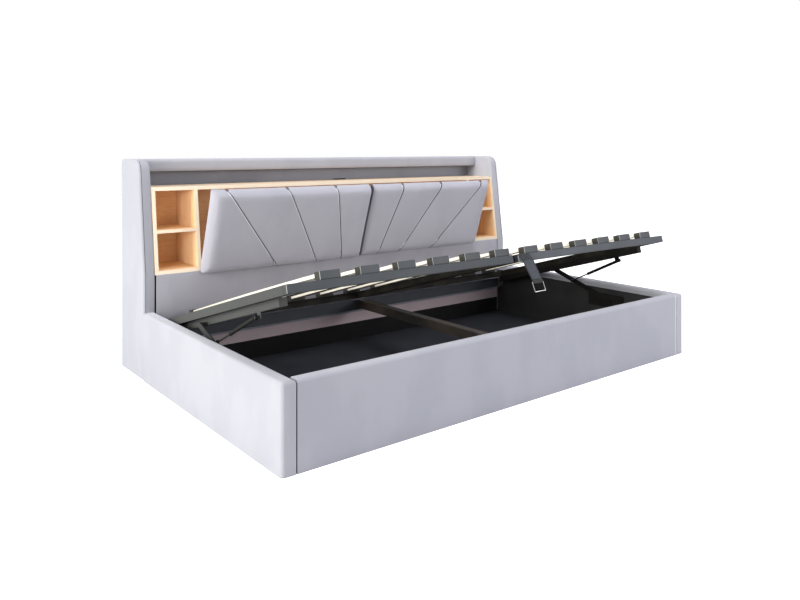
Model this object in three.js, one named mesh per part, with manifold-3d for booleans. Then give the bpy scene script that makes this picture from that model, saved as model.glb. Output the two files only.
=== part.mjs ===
// Storage bed with a storage headboard, in millimetres, +Z up, +Y towards the headboard.
// The origin is on the floor at the middle of the bed. The sleeping platform is half raised
// on its lift arms, and both padded headboard flaps lean open.
import * as THREE from "three";
import { RoundedBoxGeometry } from "three/addons/geometries/RoundedBoxGeometry.js";
import { mergeVertices } from "three/addons/utils/BufferGeometryUtils.js";
import Module from "manifold-3d";

const wasm = await Module();
wasm.setup();

// Overall sizes
const bedWidth = 2120;
const bedDepth = 1562;
const headboardHeight = 945;
const railHeight = 289;
const padThickness = 50;
const padRadius = 13;
const seamGap = 0.3;
const cutOverrun = 5;

// Headboard shell
const wingDepth = 303;
const wingSlantAngle = 7.9;
const wingCornerRadius = 50;
const wingEdgeRound = 9;
const lowerPanelThickness = 30;
const lowerPanelTop = 445.2;
const backBoardThickness = 24.5;
const topRailHeight = 60;
const topRailDepth = 100;

// Oak storage box
const boardThickness = 16;
const nicheHeight = 63;
const boxSetback = 1.5;
const boxBackThickness = 4;
const cubbyWidth = 171;
const shelfThickness = 14;
const shelfHeightShare = 0.484;
const cableSlotWidth = 80;
const cableSlotDepth = 14;
const cableSlotOffset = 68;

// Padded flaps
const flapSideOverlap = 1.3;
const flapOverhang = 11.5;
const flapThickness = 46;
const flapEdgeThickness = 22;
const flapEdgeRoll = 34;
const flapEndInset = 3;
const flapLean = 19.3;
const flapMiddleGap = 1.5;
const seamFootShares = [0.1343, 0.307, 0.5653];
const seamHeadShares = [0.2474, 0.5629, 0.9167];
const seamDepth = 6;
const gorePuff = 4;
const hingePinRadius = 2.5;
const hingeLeafThickness = 1;
const hingeLeafHeight = 9;
const hingeStandoff = 1;
const hingeRise = 4;
const hingeEndInset = 12;

// Storage floor and fixed steel
const floorThickness = 9;
const beamWidth = 40;
const beamHeight = 40;
const beamTop = 217.6;
const beamWall = 2;
const rearRailHeight = 52;
const rearRailThickness = 26;
const rearRailStandoff = 18;
const rearRailBracketWidth = 45;
const rearRailBracketThickness = 4;

// Raised platform
const platformTilt = 15.42;
const platformEndClearance = 44;
const platformSideClearance = 7;
const halfFrameGap = 30;
const tubeHeight = 31;
const tubeDepth = 25;
const tubeWall = 1.6;
const endTubeWidth = 40;
const channelHeight = 30;
const channelWidth = 30;
const channelInset = 28;
const channelFrontShare = 0.103;
const channelRearInset = 20;
const springEarHalfLength = 14;
const springEarBelowPin = 7;
const slatCount = 6;
const slatWidth = 68;
const slatThickness = 8;
const slatArch = 3;
const slatMiddleHeight = 19;
const slatMargins = {
  left: { middle: 68, outer: 160 },
  right: { middle: 95, outer: 133 },
};
const capWidth = 78;
const capDepth = 35;
const capHeight = 28;
const capSocketDepth = 28;
const capSocketClearance = 0.6;
const capWebThickness = 1;

// Lift mechanism, one set on each side wall
const plateThickness = 3.2;
const plateLength = 230;
const plateHeight = 70;
const plateAhead = 90;
const armPivotShare = 0.73305;
const armPivotZ = 197.9;
const armHeadPanelShare = 0.41052;
const armHeadZ = 316.52;
const armThickness = 5;
const armHeight = 24;
const armPlaneGap = 0.5;
const pivotPinRadius = 4;
const pinClearance = 0.4;
const pinHeadRadius = 8;
const pinHeadThickness = 2;
const armHeadShare = 0.63691;
const armHeadBelow = 55.8;
const springPinShare = 0.23863;
const springPinBelow = 76.9;
const springFootShare = 0.6398;
const springPlaneInset = 22;
const cylinderRadius = 7.5;
const cylinderLength = 222;
const rodRadius = 3.5;
const rodClearance = 0.3;
const rodInset = 95;
const eyeRadius = 9;
const eyeWidth = 9;
const springStudRadius = 5;
const springStudReach = 8;

// Pull strap and its wire ring
const strapWidth = 62;
const strapThickness = 2.4;
const strapLeft = 12;
const strapHang = 86.75;
const strapSideDrift = 59.5;
const strapFaceDriftShare = 0.32;
const strapForwardDrift = 13.86;
const strapTopInset = 2;
const ringWire = 1.8;
const ringInnerWidth = 58;
const ringInnerHeight = 36;
const ringSideDrift = 17;

// Finishes
const finish = (color, roughness, metalness) =>
  new THREE.MeshStandardMaterial({ color, roughness, metalness });
const velvet = () => finish(0xb4b5c2, 0.9, 0);
const oak = () => finish(0xe3bf93, 0.55, 0);
const birch = () => finish(0xeddcb9, 0.6, 0);
const blueSteel = () => finish(0x5a646b, 0.5, 0.5);
const blackSteel = () => finish(0x191a1b, 0.5, 0.5);
const plastic = () => finish(0x4f5a61, 0.6, 0);
const webbing = () => finish(0x4a4f5c, 0.9, 0);
const bareSteel = () => finish(0xb9bcc0, 0.35, 0.9);
const lining = () => finish(0x3d4047, 0.95, 0);

const bed = new THREE.Group();
const radians = THREE.MathUtils.degToRad;
const halfWidth = bedWidth / 2;
const halfDepth = bedDepth / 2;
const insideHalf = halfWidth - padThickness;
const wingFront = halfDepth - wingDepth;
const boxBottom = lowerPanelTop + seamGap;
const boxTop = headboardHeight - topRailHeight - nicheHeight;
const dividerOuter = insideHalf - seamGap - boardThickness - cubbyWidth;
const flapWidth = dividerOuter + flapSideOverlap - flapMiddleGap;
const flapHeight = boxTop - boxBottom + flapOverhang;
const sides = [
  { side: "left", sign: -1 },
  { side: "right", sign: 1 },
];

function add(name, geometry, material, parent = bed) {
  const mesh = new THREE.Mesh(geometry, material);
  mesh.name = name;
  parent.add(mesh);
  return mesh;
}

// A span runs from its lower to its higher end, on either side of the middle.
function span(sign, inner, outer) {
  return sign < 0 ? [-outer, -inner] : [inner, outer];
}

function block([x0, x1], [y0, y1], [z0, z1]) {
  const box = new THREE.BoxGeometry(x1 - x0, y1 - y0, z1 - z0);
  return box.translate((x0 + x1) / 2, (y0 + y1) / 2, (z0 + z1) / 2);
}

function paddedBlock([x0, x1], [y0, y1], [z0, z1], radius = padRadius) {
  const box = new RoundedBoxGeometry(x1 - x0, y1 - y0, z1 - z0, 2, radius);
  return box.translate((x0 + x1) / 2, (y0 + y1) / 2, (z0 + z1) / 2);
}

const towards = (a, b, c) => new THREE.Matrix4().makeBasis(a, b, c);
const unitX = new THREE.Vector3(1, 0, 0);
const unitY = new THREE.Vector3(0, 1, 0);
const unitZ = new THREE.Vector3(0, 0, 1);

// A closed outline in (y, z) is run along X between the ends of a span.
function alongX(shape, [x0, x1], options = {}) {
  const settings = { depth: x1 - x0, bevelEnabled: false, curveSegments: 8, ...options };
  const solid = new THREE.ExtrudeGeometry(shape, settings);
  return solid.applyMatrix4(towards(unitY, unitZ, unitX)).translate(x0, 0, 0);
}

// A closed outline in (z, x) is run along Y.
function alongY(shape, [y0, y1]) {
  const solid = new THREE.ExtrudeGeometry(shape, { depth: y1 - y0, bevelEnabled: false });
  return solid.applyMatrix4(towards(unitZ, unitX, unitY)).translate(0, y0, 0);
}

function outline(points) {
  return new THREE.Shape(points.map(([a, b]) => new THREE.Vector2(a, b)));
}

function frameOutline([a0, a1], [b0, b1], wall) {
  const shape = outline([[a0, b0], [a1, b0], [a1, b1], [a0, b1]]);
  const inner = [
    [a0 + wall, b0 + wall],
    [a0 + wall, b1 - wall],
    [a1 - wall, b1 - wall],
    [a1 - wall, b0 + wall],
  ];
  shape.holes.push(outline(inner));
  return shape;
}

// A folded steel section that is open underneath
function channelOutline([a0, a1], [b0, b1], wall) {
  return outline([
    [a0, b0],
    [a0 + wall, b0],
    [a0 + wall, b1 - wall],
    [a1 - wall, b1 - wall],
    [a1 - wall, b0],
    [a1, b0],
    [a1, b1],
    [a0, b1],
  ]);
}

function rodAlongX(radius, [x0, x1], y, z, sidesRound = 12) {
  const rod = new THREE.CylinderGeometry(radius, radius, x1 - x0, sidesRound);
  return rod.rotateZ(-Math.PI / 2).translate((x0 + x1) / 2, y, z);
}

function rodAlongY(radius, [y0, y1], x, z, sidesRound = 12) {
  const rod = new THREE.CylinderGeometry(radius, radius, y1 - y0, sidesRound);
  return rod.translate(x, (y0 + y1) / 2, z);
}

function rodAlongZ(radius, [z0, z1], x, y, sidesRound = 12) {
  const rod = new THREE.CylinderGeometry(radius, radius, z1 - z0, sidesRound);
  return rod.rotateX(Math.PI / 2).translate(x, y, (z0 + z1) / 2);
}

// Boolean joins and cuts
function toSolid(geometry) {
  const bare = geometry.index ? geometry.toNonIndexed() : geometry.clone();
  bare.deleteAttribute("normal");
  bare.deleteAttribute("uv");
  const merged = mergeVertices(bare, 1e-3);
  return new wasm.Manifold(
    new wasm.Mesh({
      numProp: 3,
      vertProperties: merged.attributes.position.array,
      triVerts: new Uint32Array(merged.index.array),
    }),
  );
}

function toGeometry(solid) {
  const { vertProperties, triVerts } = solid.getMesh();
  const geometry = new THREE.BufferGeometry();
  geometry.setAttribute("position", new THREE.BufferAttribute(vertProperties, 3));
  geometry.setIndex(new THREE.BufferAttribute(triVerts, 1));
  geometry.computeVertexNormals();
  return geometry;
}

function join(...pieces) {
  return toGeometry(pieces.map(toSolid).reduce((all, piece) => all.add(piece)));
}

function cut(body, ...holes) {
  return toGeometry(holes.map(toSolid).reduce((rest, hole) => rest.subtract(hole), toSolid(body)));
}

// Upholstered base: two side rails, whose ends show in front, and the front rail between them
function buildBase() {
  const railBack = wingFront - seamGap;
  for (const { side, sign } of sides) {
    const across = span(sign, insideHalf, halfWidth);
    const rail = paddedBlock(across, [-halfDepth, railBack], [0, railHeight]);
    add(`side_rail_${side}`, rail, velvet());
  }
  const frontSpan = [-insideHalf + seamGap, insideHalf - seamGap];
  const frontRail = paddedBlock(frontSpan, [-halfDepth, -halfDepth + padThickness], [0, railHeight]);
  add("front_rail", frontRail, velvet());
  const floorDepth = [-halfDepth + padThickness + seamGap, wingFront - seamGap];
  add("storage_floor", block(frontSpan, floorDepth, [0, floorThickness]), lining());
}

// The front face of wings and oak box stands upright to the box, then leans back.
function slantFace(z) {
  const above = Math.max(z - lowerPanelTop, 0);
  return wingFront + above * Math.tan(radians(wingSlantAngle));
}

// Upholstered headboard shell: wings, lower panel, back board and top rail
function buildHeadboardShell() {
  const shape = new THREE.Shape();
  const topFront = slantFace(headboardHeight);
  const lean = Math.tan(radians(wingSlantAngle)) * wingCornerRadius;
  shape.moveTo(halfDepth, 0);
  shape.lineTo(halfDepth, headboardHeight);
  shape.lineTo(topFront + wingCornerRadius, headboardHeight);
  shape.quadraticCurveTo(topFront, headboardHeight, topFront - lean, headboardHeight - wingCornerRadius);
  shape.lineTo(wingFront, lowerPanelTop);
  shape.lineTo(wingFront, 0);
  const rounding = {
    bevelEnabled: true,
    bevelSegments: 2,
    bevelSize: wingEdgeRound,
    bevelThickness: wingEdgeRound,
    bevelOffset: -wingEdgeRound,
    depth: padThickness - 2 * wingEdgeRound,
  };
  for (const { side, sign } of sides) {
    const [low, high] = span(sign, insideHalf, halfWidth);
    const wing = alongX(shape, [low + wingEdgeRound, high - wingEdgeRound], rounding);
    add(`wing_${side}`, wing, velvet());
  }
  const between = [-insideHalf + seamGap, insideHalf - seamGap];
  const panelBack = wingFront + lowerPanelThickness;
  const lowerPanel = paddedBlock(between, [wingFront, panelBack], [0, lowerPanelTop], boardThickness / 4);
  add("lower_panel", lowerPanel, velvet());
  const railBottom = headboardHeight - topRailHeight;
  const boardFront = halfDepth - backBoardThickness;
  add("back_board", block(between, [boardFront, halfDepth], [0, railBottom - seamGap]), velvet());
  const railFront = halfDepth - topRailDepth;
  add("top_rail", paddedBlock(between, [railFront, halfDepth], [railBottom, headboardHeight]), velvet());
}

// Oak box between the wings: cubbies at both ends, one wide space behind the flaps
function buildStorageBox() {
  const floorTop = boxBottom + boardThickness;
  const lidUnder = boxTop - boardThickness;
  const back = halfDepth - backBoardThickness - seamGap;
  const boxHalf = insideHalf - seamGap;
  const innerHalf = boxHalf - boardThickness;
  const face = (z) => slantFace(z) + boxSetback;
  const board = (x, z0, z1, rear) =>
    alongX(outline([[face(z0), z0], [rear, z0], [rear, z1], [face(z1), z1]]), x);

  const lid = board([-boxHalf, boxHalf], lidUnder, boxTop, back);
  const slotX = [cableSlotOffset - cableSlotWidth / 2, cableSlotOffset + cableSlotWidth / 2];
  const slotBack = back - boxBackThickness - seamGap;
  const slotZ = [lidUnder - cutOverrun, boxTop + cutOverrun];
  add("box_top", cut(lid, block(slotX, [slotBack - cableSlotDepth, slotBack], slotZ)), oak());
  add("box_bottom", board([-boxHalf, boxHalf], boxBottom, floorTop, back), oak());

  const upright = [floorTop + seamGap, lidUnder - seamGap];
  const backFront = back - boxBackThickness;
  const boxBack = block([-innerHalf + seamGap, innerHalf - seamGap], [backFront, back], upright);
  add("box_back", boxBack, oak());
  const rear = backFront - seamGap;
  const shelfBottom = floorTop + shelfHeightShare * (lidUnder - floorTop - shelfThickness);
  for (const { side, sign } of sides) {
    add(`box_end_${side}`, board(span(sign, innerHalf, boxHalf), ...upright, back), oak());
    const dividerSpan = span(sign, dividerOuter - boardThickness, dividerOuter);
    add(`divider_${side}`, board(dividerSpan, ...upright, rear), oak());
    const shelfSpan = span(sign, dividerOuter + seamGap, innerHalf - seamGap);
    add(`shelf_${side}`, board(shelfSpan, shelfBottom, shelfBottom + shelfThickness, rear), oak());
  }
}

// Share of the full swell at a distance from a rolled edge
function rollShare(distance) {
  const t = THREE.MathUtils.clamp(distance / flapEdgeRoll, 0, 1);
  return Math.sqrt(1 - (1 - t) ** 2);
}

// One padded flap, in its own frame: x from the bed's middle outwards, y out of the bed, z up.
// Its sewn seams fan out from the middle, and each gore between two seams is crowned.
function flapGeometry(sign) {
  const outer = flapMiddleGap + flapWidth;
  const fromMiddle = (share) => flapMiddleGap + share * flapWidth;
  const feet = [0, ...seamFootShares, 1].map(fromMiddle);
  const heads = [0, ...seamHeadShares, 1].map(fromMiddle);
  const goreShares = [0, 0.06, 0.3, 0.7, 0.94];
  const rowShares = [0, 0.02, 0.06, 0.25, 0.5, 0.75, 0.94, 0.98, 1];
  const columns = [];
  feet.slice(0, -1).forEach((foot, gore) => {
    for (const share of goreShares) columns.push({ gore, share });
  });
  columns.push({ gore: feet.length - 2, share: 1 });

  const front = [];
  const back = [];
  for (const row of rowShares) {
    const z = row * flapHeight;
    const inset = flapEndInset * Math.sin(Math.PI * row);
    for (const { gore, share } of columns) {
      const left = THREE.MathUtils.lerp(feet[gore], heads[gore], row);
      const right = THREE.MathUtils.lerp(feet[gore + 1], heads[gore + 1], row);
      let x = THREE.MathUtils.lerp(left, right, share);
      if (gore === feet.length - 2 && share === 1) x -= inset;
      const edge = Math.min(outer - x, x - flapMiddleGap, z, flapHeight - z);
      const roll = rollShare(Math.max(edge, 0));
      const sewn = share === 0 || share === 1 ? -seamDepth : gorePuff * Math.sin(Math.PI * share) - gorePuff;
      const swell = (flapThickness - flapEdgeThickness + sewn) * roll;
      front.push([sign * x, -(flapEdgeThickness + swell), z]);
      back.push([sign * x, 0, z]);
    }
  }
  return closedGrid(front, back, columns.length, rowShares.length, sign);
}

// Two like grids of points, joined round their edges into one closed skin
function closedGrid(front, back, columns, rows, sign) {
  const points = [...front, ...back];
  const behind = front.length;
  const faces = [];
  const quad = (a, b, c, d) => faces.push([a, b, c], [a, c, d]);
  for (let r = 0; r + 1 < rows; r++) {
    for (let c = 0; c + 1 < columns; c++) {
      const a = r * columns + c;
      quad(a, a + 1, a + columns + 1, a + columns);
      quad(behind + a + 1, behind + a, behind + a + columns, behind + a + columns + 1);
    }
  }
  for (let c = 0; c + 1 < columns; c++) {
    const top = (rows - 1) * columns + c;
    quad(behind + c, behind + c + 1, c + 1, c);
    quad(top, top + 1, behind + top + 1, behind + top);
  }
  for (let r = 0; r + 1 < rows; r++) {
    const start = r * columns;
    const end = start + columns - 1;
    quad(behind + start, start, start + columns, behind + start + columns);
    quad(end, behind + end, behind + end + columns, end + columns);
  }
  const order = sign > 0 ? faces : faces.map(([a, b, c]) => [a, c, b]);
  const geometry = new THREE.BufferGeometry();
  geometry.setAttribute("position", new THREE.Float32BufferAttribute(points.flat(), 3));
  geometry.setIndex(order.flat());
  geometry.computeVertexNormals();
  return geometry;
}

// Each flap turns on a long hinge, whose fixed leaf is screwed to the oak box's bottom board.
function buildFlaps() {
  const pinZ = lowerPanelTop + hingePinRadius + hingeRise;
  const pinY = wingFront - hingePinRadius / 2;
  for (const { side, sign } of sides) {
    const swing = new THREE.Group();
    swing.position.set(0, pinY, pinZ);
    swing.rotation.x = radians(flapLean);
    bed.add(swing);
    const flap = flapGeometry(sign).translate(0, -hingeStandoff, hingePinRadius + seamGap);
    add(`flap_${side}`, flap, velvet(), swing);
    const across = span(sign, flapMiddleGap + hingeEndInset, flapMiddleGap + flapWidth - hingeEndInset);
    const pin = rodAlongX(hingePinRadius, across, pinY, pinZ);
    const leafFoot = pinZ - hingePinRadius / 2;
    const leafBack = slantFace(leafFoot) + boxSetback - seamGap;
    const leafY = [leafBack - hingeLeafThickness, leafBack];
    const leaf = block(across, leafY, [leafFoot, pinZ + hingeLeafHeight]);
    add(`flap_hinge_${side}`, join(pin, leaf), bareSteel());
  }
}

// Fixed steel: a centre beam on the storage floor's middle line and the rear rail it meets
function buildFixedSteel() {
  const railFront = wingFront - rearRailStandoff - rearRailThickness;
  const railX = insideHalf - rearRailBracketWidth;
  const railZ = [beamTop - rearRailHeight, beamTop];
  const section = channelOutline([railFront, railFront + rearRailThickness], railZ, beamWall);
  const rail = alongX(section, [-railX, railX]);
  const brackets = sides.map(({ sign }) => {
    const reach = span(sign, railX - rearRailBracketThickness, insideHalf - seamGap);
    return block(reach, [railFront, railFront + rearRailThickness], railZ);
  });
  const stays = sides.map(({ sign }) => {
    const across = span(sign, railX / 2, railX / 2 + rearRailBracketWidth);
    const reach = [railFront + rearRailThickness - beamWall, wingFront - seamGap];
    return block(across, reach, railZ);
  });
  add("rear_rail", join(rail, ...brackets, ...stays), blueSteel());
  const beamSpan = [-halfDepth + padThickness + seamGap, railFront - seamGap];
  const tube = frameOutline([beamTop - beamHeight, beamTop], [-beamWidth / 2, beamWidth / 2], beamWall);
  add("centre_beam", alongY(tube, beamSpan), blackSteel());
}

// Raised platform, built flat: y runs from its front top edge to the rear, z is up from the
// top of its tubes. It is hung where the heads of the raised lift arms hold it.
const platformLength = bedDepth - wingDepth - padThickness - platformEndClearance;
const platformHalfWidth = insideHalf - platformSideClearance;
const armPivotY = wingFront - armPivotShare * platformLength;
const armHead = new THREE.Vector3(0, wingFront - armHeadPanelShare * platformLength, armHeadZ);
const armHeadAlong = armHeadShare * platformLength;
const platform = new THREE.Group();
platform.rotation.x = -radians(platformTilt);
platform.position.copy(
  armHead.clone().sub(new THREE.Vector3(0, armHeadAlong, -armHeadBelow).applyEuler(platform.rotation)),
);
bed.add(platform);

function slatCentres(side) {
  const { middle, outer } = slatMargins[side];
  const pitch = (platformHalfWidth - middle - outer) / (slatCount - 1);
  const start = side === "left" ? outer - platformHalfWidth : middle;
  return Array.from({ length: slatCount }, (_, index) => start + index * pitch);
}

function buildPlatformTubes() {
  const inner = halfFrameGap / 2;
  const frontY = [0, tubeDepth];
  const rearY = [platformLength - tubeDepth, platformLength];
  const between = [tubeDepth + seamGap, platformLength - tubeDepth - seamGap];
  for (const { side, sign } of sides) {
    const across = span(sign, inner, platformHalfWidth);
    const front = frameOutline(frontY, [-tubeHeight, 0], tubeWall);
    const rear = frameOutline(rearY, [-tubeHeight, 0], tubeWall);
    add(`front_beam_${side}`, alongX(front, across), blueSteel(), platform);
    add(`rear_beam_${side}`, alongX(rear, across), blueSteel(), platform);
    const endSpan = span(sign, platformHalfWidth - endTubeWidth, platformHalfWidth);
    const end = frameOutline([-tubeHeight, 0], endSpan, tubeWall);
    add(`end_tube_${side}`, alongY(end, between), blueSteel(), platform);
    const middleSpan = span(sign, inner, inner + tubeDepth);
    const middle = frameOutline([-tubeHeight, 0], middleSpan, tubeWall);
    add(`middle_tube_${side}`, alongY(middle, between), blueSteel(), platform);
  }
}

// Sprung slats are arched, and their ends sit in moulded caps on the front and rear tubes.
function buildSlats() {
  const first = capDepth - capSocketDepth + capSocketClearance;
  const last = platformLength - first;
  const middle = (first + last) / 2;
  const shape = new THREE.Shape();
  const low = slatMiddleHeight - slatThickness / 2;
  const high = low + slatThickness;
  shape.moveTo(first, low);
  shape.quadraticCurveTo(middle, low + 2 * slatArch, last, low);
  shape.lineTo(last, high);
  shape.quadraticCurveTo(middle, high + 2 * slatArch, first, high);
  shape.closePath();
  for (const { side } of sides) {
    slatCentres(side).forEach((centre, index) => {
      const across = [centre - slatWidth / 2, centre + slatWidth / 2];
      add(`slat_${side}_${index + 1}`, alongX(shape, across), birch(), platform);
    });
  }
}

function capRow(side, [y0, y1], socketY) {
  const centres = slatCentres(side);
  const reach = slatWidth / 2 + capSocketClearance;
  const half = slatThickness / 2 + 2 * capSocketClearance;
  const caps = centres.map((centre) =>
    cut(
      block([centre - capWidth / 2, centre + capWidth / 2], [y0, y1], [seamGap, capHeight]),
      block([centre - reach, centre + reach], socketY, [slatMiddleHeight - half, slatMiddleHeight + half]),
    ),
  );
  const web = [Math.min(...centres), Math.max(...centres)];
  const webY = [Math.max(y0, seamGap), y0 + tubeDepth / 2];
  return join(...caps, block(web, webY, [seamGap, seamGap + capWebThickness]));
}

function buildSlatCaps() {
  const frontSocket = [capDepth - capSocketDepth, capDepth + cutOverrun];
  const rearY = [platformLength - capDepth, platformLength];
  const rearSocket = [rearY[0] - cutOverrun, rearY[0] + capSocketDepth];
  for (const { side } of sides) {
    add(`front_caps_${side}`, capRow(side, [0, capDepth], frontSocket), plastic(), platform);
    add(`rear_caps_${side}`, capRow(side, rearY, rearSocket), plastic(), platform);
  }
}

// Lift mechanism planes, counted from the side wall inwards
const plateInner = insideHalf - seamGap - plateThickness;
const armOuter = plateInner - armPlaneGap;
const armInner = armOuter - armThickness;
const springPlane = insideHalf - springPlaneInset;
const channelOuter = platformHalfWidth - channelInset;

// A place on the platform, in the bed's frame
function onPlatform(along, below) {
  platform.updateMatrix();
  return new THREE.Vector3(0, along, -below).applyMatrix4(platform.matrix);
}

const armLength = Math.hypot(armHead.y - armPivotY, armHead.z - armPivotZ);
const armAngle = Math.atan2(armHead.z - armPivotZ, armHead.y - armPivotY);
const springFootFromPivot = springFootShare * armLength;
const springPinAlong = springPinShare * platformLength;
const springPin = onPlatform(springPinAlong, springPinBelow);
const springFootY = armPivotY + springFootFromPivot * Math.cos(armAngle);
const springFootZ = armPivotZ + springFootFromPivot * Math.sin(armAngle);
const springLength = Math.hypot(springFootY - springPin.y, springFootZ - springPin.z);
const springAngle = Math.atan2(springFootZ - springPin.z, springFootY - springPin.y);

function buildLiftChannels() {
  const headReach = armOuter - channelOuter;
  const pinReach = springPlane + eyeWidth / 2 - channelOuter;
  for (const { side, sign } of sides) {
    const across = span(sign, channelOuter - channelWidth, channelOuter);
    const zSpan = [-tubeHeight - seamGap - channelHeight, -tubeHeight - seamGap];
    const channelFront = channelFrontShare * platformLength;
    const channelRear = platformLength - channelRearInset;
    const channel = block(across, [channelFront, channelRear], zSpan);
    const inner = [across[0] + tubeWall, across[1] - tubeWall];
    const ends = [channelFront + tubeWall, channelRear - tubeWall];
    const hollow = block(inner, ends, [zSpan[0] - cutOverrun, zSpan[1] - tubeWall]);
    const stub = (radius, reach, along, below) =>
      rodAlongX(radius, span(sign, channelOuter - tubeWall, channelOuter + reach), along, -below);
    const pinZ = -springPinBelow;
    const ear = block(
      span(sign, channelOuter - tubeWall, channelOuter),
      [springPinAlong - springEarHalfLength, springPinAlong + springEarHalfLength],
      [pinZ - springEarBelowPin, zSpan[1] - tubeWall],
    );
    const body = join(
      cut(channel, hollow),
      ear,
      stub(pivotPinRadius, headReach, armHeadAlong, armHeadBelow),
      stub(pinHeadRadius, armInner - armPlaneGap - channelOuter, armHeadAlong, armHeadBelow),
      stub(pivotPinRadius, pinReach, springPinAlong, springPinBelow),
    );
    add(`lift_channel_${side}`, body, blackSteel(), platform);
  }
}

function buildLiftArms() {
  const half = armHeight / 2;
  const hole = pivotPinRadius + pinClearance;
  for (const { side, sign } of sides) {
    const wall = span(sign, plateInner, plateInner + plateThickness);
    const plateY = [armPivotY - plateAhead, armPivotY - plateAhead + plateLength];
    const plateZ = [armPivotZ - plateHeight / 2, armPivotZ + plateHeight / 2];
    const headIn = armInner - armPlaneGap - pinHeadThickness;
    const plate = join(
      block(wall, plateY, plateZ),
      rodAlongX(pivotPinRadius, span(sign, headIn, plateInner + plateThickness / 2), armPivotY, armPivotZ),
      rodAlongX(pinHeadRadius, span(sign, headIn, headIn + pinHeadThickness), armPivotY, armPivotZ),
    );
    add(`lift_plate_${side}`, plate, blackSteel());

    const pose = new THREE.Group();
    pose.position.set(0, armPivotY, armPivotZ);
    pose.rotation.x = armAngle;
    bed.add(pose);
    const bar = new THREE.Shape();
    bar.absarc(0, 0, half, Math.PI / 2, (3 * Math.PI) / 2);
    bar.absarc(armLength, 0, half, -Math.PI / 2, Math.PI / 2);
    for (const along of [0, armLength]) {
      const eye = new THREE.Path();
      eye.absarc(along, 0, hole, 0, 2 * Math.PI, true);
      bar.holes.push(eye);
    }
    const across = span(sign, armInner, armOuter);
    const studSpan = span(sign, armInner - springStudReach, armOuter - armThickness / 2);
    const stud = rodAlongX(springStudRadius, studSpan, springFootFromPivot, 0);
    add(`lift_arm_${side}`, join(alongX(bar, across), stud), blackSteel(), pose);
  }
}

// Gas springs run from a pin on the lift channel to a stud on the lift arm.
function buildGasSprings() {
  const bore = rodRadius + rodClearance;
  const hole = pivotPinRadius + pinClearance;
  for (const { side, sign } of sides) {
    const pose = new THREE.Group();
    pose.position.copy(springPin);
    pose.rotation.x = springAngle;
    bed.add(pose);
    const x = sign * springPlane;
    const eyeSpan = [x - eyeWidth / 2, x + eyeWidth / 2];
    const bodyEnd = eyeRadius / 2 + cylinderLength;
    const shell = join(
      rodAlongY(cylinderRadius, [eyeRadius / 2, bodyEnd], x, 0),
      rodAlongX(eyeRadius, eyeSpan, 0, 0),
    );
    const cylinder = cut(
      shell,
      rodAlongY(bore, [eyeRadius + cutOverrun, bodyEnd + cutOverrun], x, 0),
      rodAlongX(hole, [eyeSpan[0] - cutOverrun, eyeSpan[1] + cutOverrun], 0, 0),
    );
    add(`gas_cylinder_${side}`, cylinder, blackSteel(), pose);
    const rod = join(
      rodAlongY(rodRadius, [rodInset, springLength], x, 0),
      rodAlongX(eyeRadius, [x - eyeWidth / 3, x + eyeWidth / 3], springLength, 0),
    );
    add(`gas_rod_${side}`, rod, bareSteel(), pose);
  }
}

// A flat strip of webbing through points of its middle line, each [x of left edge, y, z]
function strip(route, width, thickness) {
  const outer = [];
  const inner = [];
  route.forEach(([x, y, z], index) => {
    const [, y0, z0] = route[Math.max(index - 1, 0)];
    const [, y1, z1] = route[Math.min(index + 1, route.length - 1)];
    const length = Math.hypot(y1 - y0, z1 - z0);
    const side = [((z1 - z0) / length) * thickness / 2, (-(y1 - y0) / length) * thickness / 2];
    outer.push([x, y + side[0], z + side[1]], [x + width, y + side[0], z + side[1]]);
    inner.push([x, y - side[0], z - side[1]], [x + width, y - side[0], z - side[1]]);
  });
  return closedGrid(inner, outer, 2, route.length, 1);
}

const strapTop = onPlatform(-strapThickness, tubeHeight);
const strapEndX = strapLeft + strapSideDrift;
const strapEndY = strapTop.y - strapForwardDrift;
const strapEndZ = strapTop.z - strapHang;

// The pull strap is riveted to the front tube's face and ends in a loop with a wire ring.
function buildPullStrap() {
  const out = -strapThickness / 2 - seamGap;
  const head = onPlatform(out, strapTopInset);
  const foot = onPlatform(out, tubeHeight);
  const strap = strip(
    [
      [strapLeft, head.y, head.z],
      [strapLeft + strapFaceDriftShare * strapSideDrift, foot.y, foot.z],
      [strapEndX, strapEndY, strapEndZ],
    ],
    strapWidth,
    strapThickness,
  );
  add("pull_strap", strap, webbing());

  const half = ringInnerWidth / 2 + ringWire;
  const top = -ringWire;
  const bottom = top - ringInnerHeight - 2 * ringWire;
  const corners = [top, bottom].flatMap((z) =>
    [-half, half].map((x) => new THREE.SphereGeometry(ringWire, 12, 8).rotateX(Math.PI / 2).translate(x, 0, z)),
  );
  const bars = [top, bottom].map((z) => rodAlongX(ringWire, [-half, half], 0, z));
  const posts = [-half, half].map((x) => rodAlongZ(ringWire, [bottom, top], x, 0));
  const lean = new THREE.Matrix4();
  lean.elements[8] = -ringSideDrift / (top - bottom);
  const ring = join(...corners, ...bars, ...posts).applyMatrix4(lean);
  ring.translate(strapEndX + strapWidth / 2, strapEndY, strapEndZ - seamGap);
  add("strap_ring", ring, bareSteel());
}

buildBase();
buildHeadboardShell();
buildStorageBox();
buildFlaps();
buildFixedSteel();
buildPlatformTubes();
buildSlats();
buildSlatCaps();
buildLiftChannels();
buildLiftArms();
buildGasSprings();
buildPullStrap();

export default bed;
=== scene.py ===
import math

import bmesh
import bpy
from mathutils import Matrix, Vector, noise


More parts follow.
